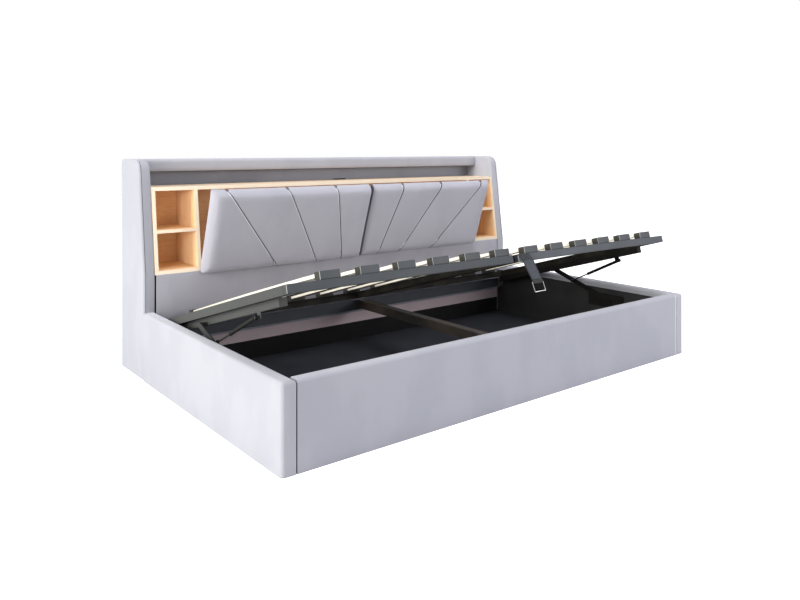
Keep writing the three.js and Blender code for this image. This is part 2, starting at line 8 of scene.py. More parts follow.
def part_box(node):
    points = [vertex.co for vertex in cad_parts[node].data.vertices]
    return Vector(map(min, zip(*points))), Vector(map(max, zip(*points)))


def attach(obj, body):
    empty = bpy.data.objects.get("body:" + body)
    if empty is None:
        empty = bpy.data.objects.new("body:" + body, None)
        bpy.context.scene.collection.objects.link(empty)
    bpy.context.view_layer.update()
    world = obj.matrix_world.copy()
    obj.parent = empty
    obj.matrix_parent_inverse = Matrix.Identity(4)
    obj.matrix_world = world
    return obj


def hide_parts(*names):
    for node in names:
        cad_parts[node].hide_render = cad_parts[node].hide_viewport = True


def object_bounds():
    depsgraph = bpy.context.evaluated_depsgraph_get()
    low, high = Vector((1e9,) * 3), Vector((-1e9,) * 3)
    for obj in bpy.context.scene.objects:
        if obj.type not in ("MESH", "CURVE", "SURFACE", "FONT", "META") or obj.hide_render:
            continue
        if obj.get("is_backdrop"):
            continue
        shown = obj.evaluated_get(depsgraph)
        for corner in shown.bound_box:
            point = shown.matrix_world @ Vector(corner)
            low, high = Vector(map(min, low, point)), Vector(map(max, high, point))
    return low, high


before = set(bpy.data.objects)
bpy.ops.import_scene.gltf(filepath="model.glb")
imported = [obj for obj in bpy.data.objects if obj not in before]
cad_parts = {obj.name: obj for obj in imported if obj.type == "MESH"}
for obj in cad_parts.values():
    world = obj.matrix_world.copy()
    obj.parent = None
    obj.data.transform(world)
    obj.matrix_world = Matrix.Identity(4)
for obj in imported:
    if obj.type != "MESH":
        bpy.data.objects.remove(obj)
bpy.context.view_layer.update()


# The view. A level camera in front of the bed, left of its middle and a metre up, whose
# picture is shifted down and sideways so that upright edges stay upright.
view_right, view_ahead = 0.6573, 0.7536
camera_data = bpy.data.cameras.new("view")
camera_data.lens = 33.70
camera_data.sensor_width = 36
camera_data.shift_x = -0.0875
camera_data.shift_y = -0.18875
camera = bpy.data.objects.new("view", camera_data)
camera.location = (-2.108, -2.842, 0.99)
camera.rotation_euler = (math.radians(90), 0, -math.atan2(view_right, view_ahead))
bpy.context.scene.collection.objects.link(camera)
bpy.context.scene.camera = camera


# Side rails. Each is a board with a thin layer of foam, covered in short-pile velvet
# that rolls over the top edge and is stapled three centimetres down the inside. Below
# the wrap the inside is lined with black non-woven cloth, painted paler there than the
# black lining elsewhere, as the light on these walls.
def new_group(name, *outputs):
    """A shader group that is given a place and works out the named numbers there."""
    group = bpy.data.node_groups.new(name, "ShaderNodeTree")
    group.interface.new_socket("Vector", in_out="INPUT", socket_type="NodeSocketVector")
    for label in outputs:
        group.interface.new_socket(label, in_out="OUTPUT", socket_type="NodeSocketFloat")
    place = group.nodes.new("NodeGroupInput").outputs["Vector"]
    return group, place, group.nodes.new("NodeGroupOutput").inputs


def add_noise(tree, vector, scale, detail, stretch=(1, 1, 1), roughness=0.5):
    turn = tree.nodes.new("ShaderNodeMapping")
    turn.inputs["Scale"].default_value = stretch
    tree.links.new(vector, turn.inputs["Vector"])
    field = tree.nodes.new("ShaderNodeTexNoise")
    field.inputs["Scale"].default_value = scale
    field.inputs["Detail"].default_value = detail
    field.inputs["Roughness"].default_value = roughness
    tree.links.new(turn.outputs["Vector"], field.inputs["Vector"])
    return field.outputs["Fac"]


def remap(tree, value, low, high, to_low=0.0, to_high=1.0):
    node = tree.nodes.new("ShaderNodeMapRange")
    node.interpolation_type = "SMOOTHSTEP"
    node.inputs["From Min"].default_value = low
    node.inputs["From Max"].default_value = high
    node.inputs["To Min"].default_value = to_low
    node.inputs["To Max"].default_value = to_high
    tree.links.new(value, node.inputs["Value"])
    return node.outputs["Result"]


def blend_colours(tree, share, first, second):
    node = tree.nodes.new("ShaderNodeMix")
    node.data_type = "RGBA"
    tree.links.new(share, node.inputs["Factor"])
    for socket, colour in ((node.inputs["A"], first), (node.inputs["B"], second)):
        if isinstance(colour, tuple):
            socket.default_value = (*colour, 1)
        else:
            tree.links.new(colour, socket)
    return node.outputs["Result"]


def add_values(tree, first, second, share):
    """The first value plus a share of the second."""
    node = tree.nodes.new("ShaderNodeMath")
    node.operation = "MULTIPLY_ADD"
    node.inputs[1].default_value = share
    tree.links.new(second, node.inputs[0])
    tree.links.new(first, node.inputs[2])
    return node.outputs["Value"]


def add_relief(tree, height, distance, strength):
    """Lets light fall on the surface as if it rose and sank with the height."""
    node = tree.nodes.new("ShaderNodeBump")
    node.inputs["Distance"].default_value = distance
    node.inputs["Strength"].default_value = strength
    tree.links.new(height, node.inputs["Height"])
    tree.links.new(node.outputs["Normal"], tree.nodes["Principled BSDF"].inputs["Normal"])


def new_material(name):
    material = bpy.data.materials.new(name)
    material.use_nodes = True
    tree = material.node_tree
    coordinates = tree.nodes.new("ShaderNodeTexCoord").outputs["Object"]
    return material, tree, tree.nodes["Principled BSDF"], coordinates


def place_group(tree, group, coordinates):
    node = tree.nodes.new("ShaderNodeGroup")
    node.node_tree = group
    tree.links.new(coordinates, node.inputs["Vector"])
    return node.outputs


nap, nap_place, nap_out = new_group("nap", "Stroked", "Pile")
cloud = add_noise(nap, nap_place, scale=5.5, detail=4, stretch=(1, 1, 0.6))
streak = add_noise(nap, nap_place, scale=60, detail=3, stretch=(1, 1, 0.3))
fibre = add_noise(nap, nap_place, scale=900, detail=1, stretch=(1, 1, 0.6))
stroked = add_values(nap, remap(nap, cloud, low=0.32, high=0.68), streak, share=0.35)
nap.links.new(remap(nap, stroked, low=0.25, high=0.95), nap_out["Stroked"])
nap.links.new(fibre, nap_out["Pile"])


def velvet(name, up, down, sheen=0.35):
    """Short-pile velvet: its colour where the nap stands up and where it is brushed down."""
    material, tree, shader, coordinates = new_material(name)
    pile = place_group(tree, nap, coordinates)
    colour = blend_colours(tree, pile["Stroked"], down, up)
    fine = blend_colours(tree, remap(tree, pile["Pile"], low=0.35, high=0.65), down, colour)
    soft = tree.nodes.new("ShaderNodeMix")
    soft.data_type = "RGBA"
    soft.inputs["Factor"].default_value = 0.3
    tree.links.new(colour, soft.inputs["A"])
    tree.links.new(fine, soft.inputs["B"])
    tree.links.new(soft.outputs["Result"], shader.inputs["Base Color"])
    rough = remap(tree, pile["Stroked"], low=0, high=1, to_low=0.92, to_high=0.8)
    tree.links.new(rough, shader.inputs["Roughness"])
    shader.inputs["Specular IOR Level"].default_value = 0.15
    shader.inputs["Sheen Weight"].default_value = sheen
    shader.inputs["Sheen Roughness"].default_value = 0.45
    shader.inputs["Sheen Tint"].default_value = (0.9, 0.9, 1, 1)
    add_relief(tree, pile["Pile"], distance=0.0008, strength=0.35)
    return material


def lining(name, thread, shade):
    """Non-woven cloth: the colour of its threads and of the shade between them."""
    material, tree, shader, coordinates = new_material(name)
    web = add_noise(tree, coordinates, scale=700, detail=3, roughness=0.7)
    crease = add_noise(tree, coordinates, scale=5, detail=2)
    share = remap(tree, add_values(tree, web, crease, share=0.6), low=0.55, high=1.0)
    tree.links.new(blend_colours(tree, share, shade, thread), shader.inputs["Base Color"])
    shader.inputs["Roughness"].default_value = 0.95
    shader.inputs["Specular IOR Level"].default_value = 0.1
    add_relief(tree, add_values(tree, web, crease, share=3), distance=0.0006, strength=0.6)
    return material


sharp_corner = 1.2
shading_crease = math.radians(40)


def block(low, high):
    board = bmesh.new()
    bmesh.ops.create_cube(board, size=1)
    bmesh.ops.scale(board, vec=[b - a for a, b in zip(low, high)], verts=board.verts)
    bmesh.ops.translate(board, vec=[(a + b) / 2 for a, b in zip(low, high)], verts=board.verts)
    return board


def sharp_edges(board):
    return [e for e in board.edges if len(e.link_faces) == 2 and e.calc_face_angle() > sharp_corner]


def rounded(board, edges, offset, segments):
    return bmesh.ops.bevel(board, geom=edges, offset=offset, segments=segments, profile=0.5,
                           affect="EDGES", material=-1)


def upholstered(low, high, tight, roll=0.0, rolled=None):
    """A board with foam and cover: full rolls on the edges that rolled() picks, tight edges elsewhere."""
    board = block(low, high)
    if rolled:
        picked = [e for e in board.edges if rolled((e.verts[0].co + e.verts[1].co) / 2)]
        rounded(board, picked, roll, segments=6)
    rounded(board, sharp_edges(board), tight, segments=3)
    return board


def cut(board, through, across):
    geometry = board.verts[:] + board.edges[:] + board.faces[:]
    bmesh.ops.bisect_plane(board, geom=geometry, dist=1e-6, plane_co=through, plane_no=across)


def placed(board, name):
    mesh = bpy.data.meshes.new(name)
    board.to_mesh(mesh)
    board.free()
    piece = bpy.data.objects.new(name, mesh)
    bpy.context.scene.collection.objects.link(piece)
    return piece


def finished(board, name, body, materials, smooth=True, stands_for=()):
    bmesh.ops.recalc_face_normals(board, faces=board.faces)
    for face in board.faces:
        face.smooth = smooth
    piece = placed(board, name)
    for material in materials:
        piece.data.materials.append(material)
    if smooth:
        piece.data.set_sharp_from_angle(angle=shading_crease)
    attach(piece, body)
    if stands_for:
        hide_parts(*stands_for)
    return piece


rail_velvet = velvet("rail_velvet", up=(0.452, 0.458, 0.522), down=(0.424, 0.430, 0.494))
black_lining = lining("black_lining", thread=(0.030, 0.030, 0.032), shade=(0.018, 0.018, 0.020))
lit_wall_lining = lining("lit_wall_lining", thread=(0.050, 0.050, 0.053), shade=(0.032, 0.032, 0.035))
joint_shade = lining("joint_shade", thread=(0.060, 0.066, 0.085), shade=(0.045, 0.050, 0.066))
rail_tight, rail_roll = 0.0015, 0.013
wrap_depth = 0.030
joint_top = 0.012
on_edge = 0.001
outer_corner = 1.05
square_on, turned_to = 0.9, 0.5
front_rail_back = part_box("front_rail")[1].y
rail_cover = [rail_velvet, joint_shade, lit_wall_lining]
for side, sign in (("left", -1), ("right", 1)):
    low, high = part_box("side_rail_" + side)
    board = upholstered(low, high, rail_tight, rail_roll,
                        lambda at: at.z > high.z - on_edge and at.y < high.y - on_edge
                        or at.y < low.y + on_edge and at.x * sign > outer_corner)
    cut(board, (0, 0, high.z - wrap_depth), (0, 0, 1))
    cut(board, (0, front_rail_back, 0), (0, 1, 0))
    cut(board, (0, 0, high.z - joint_top), (0, 0, 1))
    for face in board.faces:
        centre = face.calc_center_median()
        if face.normal.x * sign > -square_on:
            continue
        # At the left front joint the faces in the gap are painted dark as the shade in it.
        if side == "left" and centre.z < high.z - joint_top and centre.y < front_rail_back:
            face.material_index = rail_cover.index(joint_shade)
        # Behind the front rail the lining is painted paler, as the light on the wall.
        if centre.z < high.z - wrap_depth and centre.y > front_rail_back:
            face.material_index = rail_cover.index(lit_wall_lining)
    rail = finished(board, "velvet_side_rail_" + side, "bed_frame",
                    rail_cover, stands_for=["side_rail_" + side])


# Front rail. It is made as the side rails are, and stands between their ends with a thin
# gap at each. At the left end the faces in the gap are painted dark as shade. Its cover is
# drawn round a sharp edge at the right end, where a strip is painted pale as a highlight.
front_velvet = velvet("front_velvet", up=(0.420, 0.427, 0.495), down=(0.392, 0.400, 0.468))
# Velvet painted pale as a highlight, for lit edges and seam lips.
painted_highlight_velvet = velvet("painted_highlight_velvet", up=(0.72, 0.72, 0.79), down=(0.66, 0.66, 0.73))
joint_gap = 0.0030
lit_edge = 0.008
along_bed = 0.5
low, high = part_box("front_rail")
low.x += joint_gap
high.x -= joint_gap
board = upholstered(low, high, rail_tight, rail_roll,
                    lambda at: at.z > high.z - on_edge and abs(at.x) < along_bed)
cut(board, (0, 0, high.z - wrap_depth), (0, 0, 1))
cut(board, (0, 0, high.z - joint_top), (0, 0, 1))
cut(board, (high.x - lit_edge, 0, 0), (1, 0, 0))
front_cover = [front_velvet, black_lining, joint_shade, painted_highlight_velvet]
for face in board.faces:
    centre = face.calc_center_median()
    if face.normal.y > square_on and centre.z < high.z - wrap_depth:
        face.material_index = front_cover.index(black_lining)
    # Left end face: painted shade in the joint. Right end strip: painted highlight.
    elif face.normal.x < -square_on and centre.z < high.z - joint_top:
        face.material_index = front_cover.index(joint_shade)
    elif face.normal.y < -turned_to and centre.x > high.x - lit_edge:
        face.material_index = front_cover.index(painted_highlight_velvet)
front_rail = finished(board, "velvet_front_rail", "bed_frame",
                      front_cover, stands_for=["front_rail"])


# Headboard wings. Two thick ends of board and foam, leaning back above the ledge, with
# the velvet of the outer face and of the front strip sewn together along the corner.
# The wing velvet is a darker copy of the rail velvet: painted shade on the lit wings.
shaded_wing_velvet = velvet("shaded_wing_velvet", up=(0.430, 0.436, 0.500), down=(0.404, 0.410, 0.474))
# Dark velvet painted as the shade in seams, joints and notches and under the flaps' feet.
painted_shade_velvet = velvet("painted_shade_velvet", up=(0.16, 0.16, 0.20), down=(0.11, 0.11, 0.14), sheen=0.0)
lean_start, wing_lean = 0.4452, math.tan(math.radians(7.9))
crown_height, crown_front = 0.9, 0.6
crown_roll, rim_roll = 0.050, 0.009
wing_side = 1.06
seam_inset, seam_inner = 0.0095, 0.0120
wing_cover = [shaded_wing_velvet, painted_shade_velvet]
for side, sign in (("left", -1), ("right", 1)):
    low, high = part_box("wing_" + side)
    board = block(low, high)
    cut(board, (0, 0, lean_start), (0, 0, 1))
    for vertex in board.verts:
        if vertex.co.z > crown_height and vertex.co.y < crown_front:
            vertex.co.y += (high.z - lean_start) * wing_lean
    crown = [e for e in board.edges if all(v.co.z > crown_height and v.co.y < crown_front for v in e.verts)]
    rounded(board, crown, crown_roll, segments=8)
    rounded(board, sharp_edges(board), rim_roll, segments=4)
    for inset in (seam_inset, seam_inner):
        cut(board, (sign * (wing_side - inset), 0, 0), (1, 0, 0))
    for face in board.faces:
        inset = wing_side - abs(face.calc_center_median().x)
        # The strip beside the corner seam is painted dark as the shade in it.
        if face.normal.y < -turned_to and seam_inset < inset < seam_inner:
            face.material_index = wing_cover.index(painted_shade_velvet)
    wing = finished(board, "velvet_wing_" + side, "bed_frame",
                    wing_cover, stands_for=["wing_" + side])


# Lower panel and back board. The panel behind the bed base is velvet above the steel
# rail, painted a little darker than the rail velvet as shade. Below the rail a mauve strip
# is painted on the velvet as warm light reflected from the slats, black lining covers its
# foot, and its ends are painted black as the shade in the joints beside the wings. The
# back board closes the open niche and is covered on both faces with velvet painted
# darker still, as the shade in the niche.
# Velvet painted darker as shade, and a mauve strip painted as reflected warm light.
shaded_panel_velvet = velvet("shaded_panel_velvet", up=(0.42, 0.415, 0.475), down=(0.385, 0.38, 0.44), sheen=0.2)
mauve_painted_reflection = lining("mauve_painted_reflection", thread=(0.78, 0.65, 0.69), shade=(0.68, 0.56, 0.60))
panel_joint, panel_tight = 0.004, 0.003
lining_top, mauve_top = 0.094, 0.145
low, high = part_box("lower_panel")
low.x += panel_joint
high.x -= panel_joint
board = upholstered(low, high, panel_tight)
for height in (lining_top, mauve_top):
    cut(board, (0, 0, height), (0, 0, 1))
panel_cover = [shaded_panel_velvet, mauve_painted_reflection, black_lining]
for face in board.faces:
    height = face.calc_center_median().z
    if face.normal.y < -turned_to and height < mauve_top:
        face.material_index = panel_cover.index(mauve_painted_reflection if height > lining_top else black_lining)
    # End faces: painted shade in the joints.
    elif abs(face.normal.x) > square_on:
        face.material_index = panel_cover.index(black_lining)
lower_panel = finished(board, "velvet_lower_panel", "bed_frame",
                       panel_cover, stands_for=["lower_panel"])

# Velvet painted darker as the shade in the niche.
shaded_niche_velvet = velvet("shaded_niche_velvet", up=(0.350, 0.355, 0.415), down=(0.320, 0.325, 0.385), sheen=0.2)
niche_tight = 0.004
low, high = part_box("back_board")
board = upholstered(low, high, niche_tight)
back_board = finished(board, "velvet_back_board", "bed_frame",
                      [shaded_niche_velvet], stands_for=["back_board"])


# Top rail. A padded bar between the wings, over the open niche, with a full roll in
# front. The cover is stapled on the underside, which takes a dark lining that also stands
# in as painted shade under the rail.
top_roll = 0.016
low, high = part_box("top_rail")
board = upholstered(low, high, rail_tight, top_roll,
                    lambda at: at.z > high.z - on_edge and abs(at.x) < along_bed
                    or at.z < low.z + on_edge and at.y < low.y + on_edge)
top_cover = [rail_velvet, joint_shade]
for face in board.faces:
    # Underside: dark lining, also painted shade.
    if face.normal.z < -square_on:
        face.material_index = top_cover.index(joint_shade)
top_rail = finished(board, "velvet_top_rail", "bed_frame",
                    top_cover, stands_for=["top_rail"])


# Shelf box. Boards of light oak veneer with paler edge bands, let into the headboard
# between the wings; the top of the ledge is painted as pale as the bands, as the light
# from above. The CAD boards keep their shape and take this finish, and a black liner
# with a low lip sits in the cable slot of the ledge.
grain, grain_place, grain_out = new_group("oak_grain", "Figure", "Pores")
figure = add_noise(grain, grain_place, scale=14, detail=4, stretch=(0.08, 1, 1), roughness=0.6)
rings = add_noise(grain, grain_place, scale=95, detail=3, stretch=(0.04, 1, 1), roughness=0.6)
pores = add_noise(grain, grain_place, scale=520, detail=2, stretch=(0.03, 1, 1), roughness=0.6)
ringed = add_values(grain, figure, rings, share=0.7)
grain.links.new(remap(grain, ringed, low=0.62, high=1.05), grain_out["Figure"])
grain.links.new(remap(grain, pores, low=0.52, high=0.66), grain_out["Pores"])
veneer_dark, veneer_light, pore_brown = (0.86, 0.56, 0.31), (0.93, 0.66, 0.40), (0.78, 0.47, 0.24)
band_dark, band_light = (0.72, 0.59, 0.45), (0.77, 0.66, 0.53)


def turned_grain(tree, coordinates, turn):
    """The grain, turned to run along the board."""
    along = tree.nodes.new("ShaderNodeMapping")
    along.inputs["Rotation"].default_value = turn
    tree.links.new(coordinates, along.inputs["Vector"])
    return place_group(tree, grain, along.outputs["Vector"])


def facing(tree):
    """Which way the surface faces, as X, Y and Z."""
    split = tree.nodes.new("ShaderNodeSeparateXYZ")
    tree.links.new(tree.nodes.new("ShaderNodeTexCoord").outputs["Normal"], split.inputs["Vector"])
    return split.outputs


def oak(name, turn=(0, 0, 0), band=True, painted_lit_top=False):
    """Oak veneer, with paler bands on the faces that point forwards, and a painted highlight on top where
    asked.
    """
    material, tree, shader, coordinates = new_material(name)
    wood = turned_grain(tree, coordinates, turn)
    colour = blend_colours(tree, wood["Figure"], veneer_dark, veneer_light)
    colour = blend_colours(tree, wood["Pores"], colour, pore_brown)
    if band:
        banded = remap(tree, facing(tree)["Y"], low=-0.5, high=-0.8)
        # Painted highlight on top, as the light from above.
        if painted_lit_top:
            lit_top_share = remap(tree, facing(tree)["Z"], low=0.5, high=0.8)
            banded = add_values(tree, banded, lit_top_share, share=0.75)
        edge = blend_colours(tree, wood["Figure"], band_dark, band_light)
        colour = blend_colours(tree, banded, colour, edge)
    tree.links.new(colour, shader.inputs["Base Color"])
    rough = remap(tree, wood["Pores"], low=0, high=1, to_low=0.48, to_high=0.62)
    tree.links.new(rough, shader.inputs["Roughness"])
    shader.inputs["Specular IOR Level"].default_value = 0.35
    add_relief(tree, wood["Pores"], distance=0.0003, strength=0.3)
    return material


def dress(node, material):
    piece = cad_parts[node]
    piece.data.materials.clear()
    piece.data.materials.append(material)


oak_long = oak("oak_long")
oak_upright = oak("oak_upright", turn=(0, math.radians(90), 0))
oak_back = oak("oak_back", band=False)
oak_ledge = oak("oak_ledge", painted_lit_top=True)
oak_boards = bpy.data.collections.new("oak_boards")
for wood, board_names in ((oak_ledge, ["box_top"]),
                          (oak_long, ["box_bottom", "shelf_left", "shelf_right"]),
                          (oak_upright, ["box_end_left", "box_end_right", "divider_left", "divider_right"]),
                          (oak_back, ["box_back"])):
    for board_name in board_names:
        dress(board_name, wood)
        oak_boards.objects.link(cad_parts[board_name])

slot_low, slot_high = Vector((0.0285, 0.7384, 0.8080)), Vector((0.1075, 0.7514, 0.8216))
liner_edge, liner_wall, liner_depth = 0.0008, 0.0014, 0.009
slot_lip_thickness, slot_lip_height = 0.0025, 0.0055
liner = upholstered(slot_low, slot_high, liner_edge)
mouth = [f for f in liner.faces if f.normal.z > square_on]
bmesh.ops.inset_region(liner, faces=mouth, thickness=liner_wall)
bmesh.ops.translate(liner, vec=(0, 0, -liner_depth), verts=list({v for f in mouth for v in f.verts}))
finished(liner, "cable_slot_liner", "bed_frame", [black_lining], smooth=False)
slot_lip = upholstered((slot_low.x, slot_high.y - slot_lip_thickness, slot_high.z),
                       (slot_high.x, slot_high.y, slot_high.z + slot_lip_height), liner_edge)
finished(slot_lip, "cable_slot_lip", "bed_frame", [black_lining])


# Flaps. Two foam pads on thin boards, hinged at the foot so that they close the niche or
# lean forward as backrests. The cover is sewn from gores, and its seams fan out from the
# middle. Each pad is puffed by a short cloth simulation, and the seams are drawn in after.
flap_velvet = velvet("flap_velvet", up=(0.466, 0.466, 0.545), down=(0.441, 0.441, 0.517))
flap_cover = [flap_velvet, painted_shade_velvet, painted_highlight_velvet]
flap_hinge, flap_lean = Vector((0, 0.47675, 0.4517)), math.radians(19.3)
flap_turn = Matrix.Translation(flap_hinge) @ Matrix.Rotation(flap_lean, 4, "X")
flap_foot, flap_head = 0.0028, 0.3908
flap_middle, flap_outer = 0.0015, 0.824
flap_thickness, flap_back = 0.0400, 0.0004
flap_proud = {"left": 0.0030, "right": -0.0080}
room_middle, room_outer, room_foot, room_head, room_back = 0.002, 0.003, 0.002, 0.003, 0.001
pad_tight, pad_roll, net_size, middle_edge = 0.004, 0.030, 0.006, 0.05
swell_cap, swell_frames = 0.004, 20


def foam_pad(name, low, high, rolled_middle):
    """The pad before it is stuffed, as an even net: rolled in front, and at the middle where asked."""
    board = upholstered(low, high, pad_tight, pad_roll,
                        lambda at: at.y < low[1] + on_edge and (rolled_middle or abs(at.x) > middle_edge))
    piece = placed(board, name)
    net = piece.modifiers.new("net", "REMESH")
    net.mode = "VOXEL"
    net.voxel_size = net_size
    apply_modifiers(piece)
    return piece


def apply_modifiers(piece):
    bpy.context.view_layer.update()
    shaped = piece.evaluated_get(bpy.context.evaluated_depsgraph_get())
    mesh = bpy.data.meshes.new_from_object(shaped)
    piece.modifiers.clear()
    piece.data = mesh


def stuff(piece):
    """Lets the cover swell as foam fills it, and holds each point to a small move."""
    start = [v.co.copy() for v in piece.data.vertices]
    cover = piece.modifiers.new("cover", "CLOTH")
    cover.settings.use_pressure = True
    cover.settings.uniform_pressure_force = 4
    cover.settings.effector_weights.gravity = 0
    cover.settings.quality = 4
    cover.point_cache.frame_start = 1
    cover.point_cache.frame_end = swell_frames
    for step in range(1, swell_frames + 1):
        bpy.context.scene.frame_set(step)
    apply_modifiers(piece)
    bpy.context.scene.frame_set(1)
    for vertex, before in zip(piece.data.vertices, start):
        move = vertex.co - before
        if move.length > swell_cap:
            vertex.co = before + move.normalized() * swell_cap


# Where the seams start at the foot and end at the head, as shares of a flap's width, and
# how the cover lies beside them. A seam's right side, seen from the front, is painted
# dark as the shade in it, and its raised lip left of it is painted pale as a highlight.
seam_feet = (0.1343, 0.307, 0.5653)
seam_heads = (0.2474, 0.5629, 0.9167)
seam_rims = {-1: 0.0030, 1: 0.0050}
seam_half, lip_crest, lip_edge = 0.0010, 0.0032, 0.0056
fade_right, fade_left, fade_end = 0.008, 0.009, 0.016
draw_depth, draw_width, draw_at_rim, rim_width = 0.0030, 0.0055, 0.45, 0.05
valley_depth, valley_width, valley_place = 0.0034, 0.0016, -0.0008
ridge_height, ridge_width, ridge_place = 0.0022, 0.0022, 0.0034
puff_height, puff_width = 0.0035, 0.045
wave_height, waves_across, wave_row, waves_up = 0.0009, 9, 0.3, 7
side_fall, side_reach = 0.013, 0.065
head_fall, head_reach = 0.010, 0.055
front_start, front_blend = 0.003, 0.012
notch_depth, notch_width, notch_reach = 0.006, 0.004, 0.014
notch_band, notch_back, notch_side = 0.022, 0.016, 0.0065
joint_strips, joint_front = {-1: 0.010, 1: 0.015}, 0.030
foot_sag, sag_reach, sag_start, sag_blend = 0.022, 0.07, 0.008, 0.012
foot_strip, foot_band, foot_front = 0.008, 0.009, 0.006
seam_front, lip_front = 0.004, 0.010
weld = 0.0004


def clamped(value):
    return min(max(value, 0), 1)


def smooth_share(value):
    value = clamped(value)
    return value * value * (3 - 2 * value)


def hump(distance, width):
    return math.exp(-(distance / width) ** 2)


def sew_flap(piece, sign):
    """Cuts the net along each seam and draws the cover in there."""
    net = bmesh.new()
    net.from_mesh(piece.data)
    seams = []
    seam_rim, joint_strip = seam_rims[sign], joint_strips[sign]
    width = flap_outer - flap_middle
    for foot, head in zip(seam_feet, seam_heads):
        start = Vector((sign * (flap_middle + foot * width), 0, flap_foot))
        end = Vector((sign * (flap_middle + head * width), 0, flap_head))
        across = (end - start).cross(Vector((0, 1, 0))).normalized()
        seams.append((start, across))
        for offset in (-fade_end, -fade_right, -seam_rim, -seam_half, seam_half,
                       lip_crest, lip_edge, fade_left, fade_end):
            cut(net, start + across * offset, across)
    cut(net, (sign * (flap_middle + joint_strip), 0, 0), (1, 0, 0))
    cut(net, (0, 0, flap_foot + foot_strip), (0, 0, 1))
    bmesh.ops.remove_doubles(net, verts=net.verts, dist=weld)
    for vertex in net.verts:
        x, y, z = vertex.co
        side = min(((vertex.co - start).dot(across) for start, across in seams), key=abs)
        nearest = abs(side)
        front = clamped((-y - front_start) / front_blend)
        edge = min(abs(x) - flap_middle, flap_outer - abs(x), z - flap_foot, flap_head - z)
        middle = clamped(edge / rim_width)
        drawn = draw_depth * math.exp(-nearest / draw_width) * (draw_at_rim + (1 - draw_at_rim) * middle)
        valley = valley_depth * hump(side - valley_place, valley_width)
        ridge = ridge_height * hump(side - ridge_place, ridge_width)
        puff = puff_height * (1 - math.exp(-nearest / puff_width)) * middle
        wave = wave_height * noise.noise(Vector((x * waves_across, wave_row, z * waves_up))) * middle
        fall = side_fall * max(1 - (flap_outer - abs(x)) / side_reach, 0) ** 2
        fall += head_fall * max(1 - (flap_head - z) / head_reach, 0) ** 2
        vertex.co.y += front * (drawn + valley - ridge - puff + wave + fall)
        if z > flap_head - notch_reach:
            vertex.co.z -= notch_depth * hump(side, notch_width)
        low_down = smooth_share((sag_reach - z) / sag_reach) * smooth_share((-y - sag_start) / sag_blend)
        vertex.co.z -= foot_sag * low_down
    for face in net.faces:
        centre = face.calc_center_median()
        side = min(((centre - start).dot(across) for start, across in seams), key=abs)
        at_joint = sign * centre.x - flap_middle < joint_strip
        at_notch = centre.z > flap_head - notch_band and centre.y > -notch_back and abs(side) < notch_side
        at_foot = centre.z < flap_foot - foot_sag + foot_band and centre.y < -foot_front
        # Painted shade: the right flap's joint strip in the left flap's shadow, the seam-top notches and
        # the foot's underside. Painted highlight: the left flap's joint edge and the seam lips.
        if sign > 0 and at_joint or at_notch or at_foot:
            face.material_index = flap_cover.index(painted_shade_velvet)
        elif sign < 0 and at_joint and centre.y < -joint_front:
            face.material_index = flap_cover.index(painted_highlight_velvet)
        elif centre.y < -seam_front and -seam_rim < side < seam_half:
            face.material_index = flap_cover.index(painted_shade_velvet)
        elif centre.y < -lip_front and seam_half < side < lip_edge:
            face.material_index = flap_cover.index(painted_highlight_velvet)
        face.smooth = True
    bmesh.ops.transform(net, matrix=flap_turn, verts=net.verts)
    bmesh.ops.recalc_face_normals(net, faces=net.faces)
    net.to_mesh(piece.data)
    net.free()


for side, sign in (("left", -1), ("right", 1)):
    ends = sorted((sign * (flap_middle + room_middle), sign * (flap_outer - room_outer)))
    pad = foam_pad("velvet_flap_" + side,
                   (ends[0], -flap_thickness - flap_proud[side], flap_foot + room_foot),
                   (ends[1], -room_back, flap_head - room_head), rolled_middle=side == "right")
    stuff(pad)
    for vertex in pad.data.vertices:
        vertex.co.y = min(vertex.co.y, -flap_back)
        vertex.co.z = min(max(vertex.co.z, flap_foot), flap_head)
        if sign * vertex.co.x < flap_middle:
            vertex.co.x = sign * flap_middle
    pad.data.materials.clear()
    for material in flap_cover:
        pad.data.materials.append(material)
    sew_flap(pad, sign)
    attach(pad, "flap_" + side)
    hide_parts("flap_" + side)


# Steel of the base. A folded rear rail on two end brackets and one long centre beam in a
# hanger carry the mattress platform when it is down. The coat is dusty powder coat, with
# warm patches on the centre beam painted as its brownish highlight, and a plate held by
# two screws stands at each end of the rear rail.
coat, coat_place, coat_out = new_group("powder_coat", "Mottle", "Grit")
mottle = add_noise(coat, coat_place, scale=7, detail=4, roughness=0.6)
grit = add_noise(coat, coat_place, scale=1300, detail=1)
coat.links.new(remap(coat, mottle, low=0.35, high=0.7), coat_out["Mottle"])
coat.links.new(grit, coat_out["Grit"])


def powder_coat(name, colour, dust_and_highlight, roughness=0.5, metallic=0.0, gloss=0.5):
    """Coated or bare steel: its colour, and the colour of random patches, which is settled dust on most
    coats and a painted brownish highlight on the warm black and shade coats.
    """
    material, tree, shader, coordinates = new_material(name)
    paint = place_group(tree, coat, coordinates)
    tree.links.new(blend_colours(tree, paint["Mottle"], colour, dust_and_highlight), shader.inputs["Base Color"])
    rough = remap(tree, paint["Mottle"], low=0, high=1, to_low=roughness, to_high=roughness + 0.12)
    tree.links.new(rough, shader.inputs["Roughness"])
    shader.inputs["Metallic"].default_value = metallic
    shader.inputs["Specular IOR Level"].default_value = gloss
    add_relief(tree, paint["Grit"], distance=0.0002, strength=0.3)
    return material


dark_blue_steel = powder_coat("dark_blue_steel", (0.050, 0.055, 0.072), (0.068, 0.073, 0.090))
black_steel = powder_coat("black_steel", (0.008, 0.008, 0.008), (0.014, 0.013, 0.013), gloss=0.15)
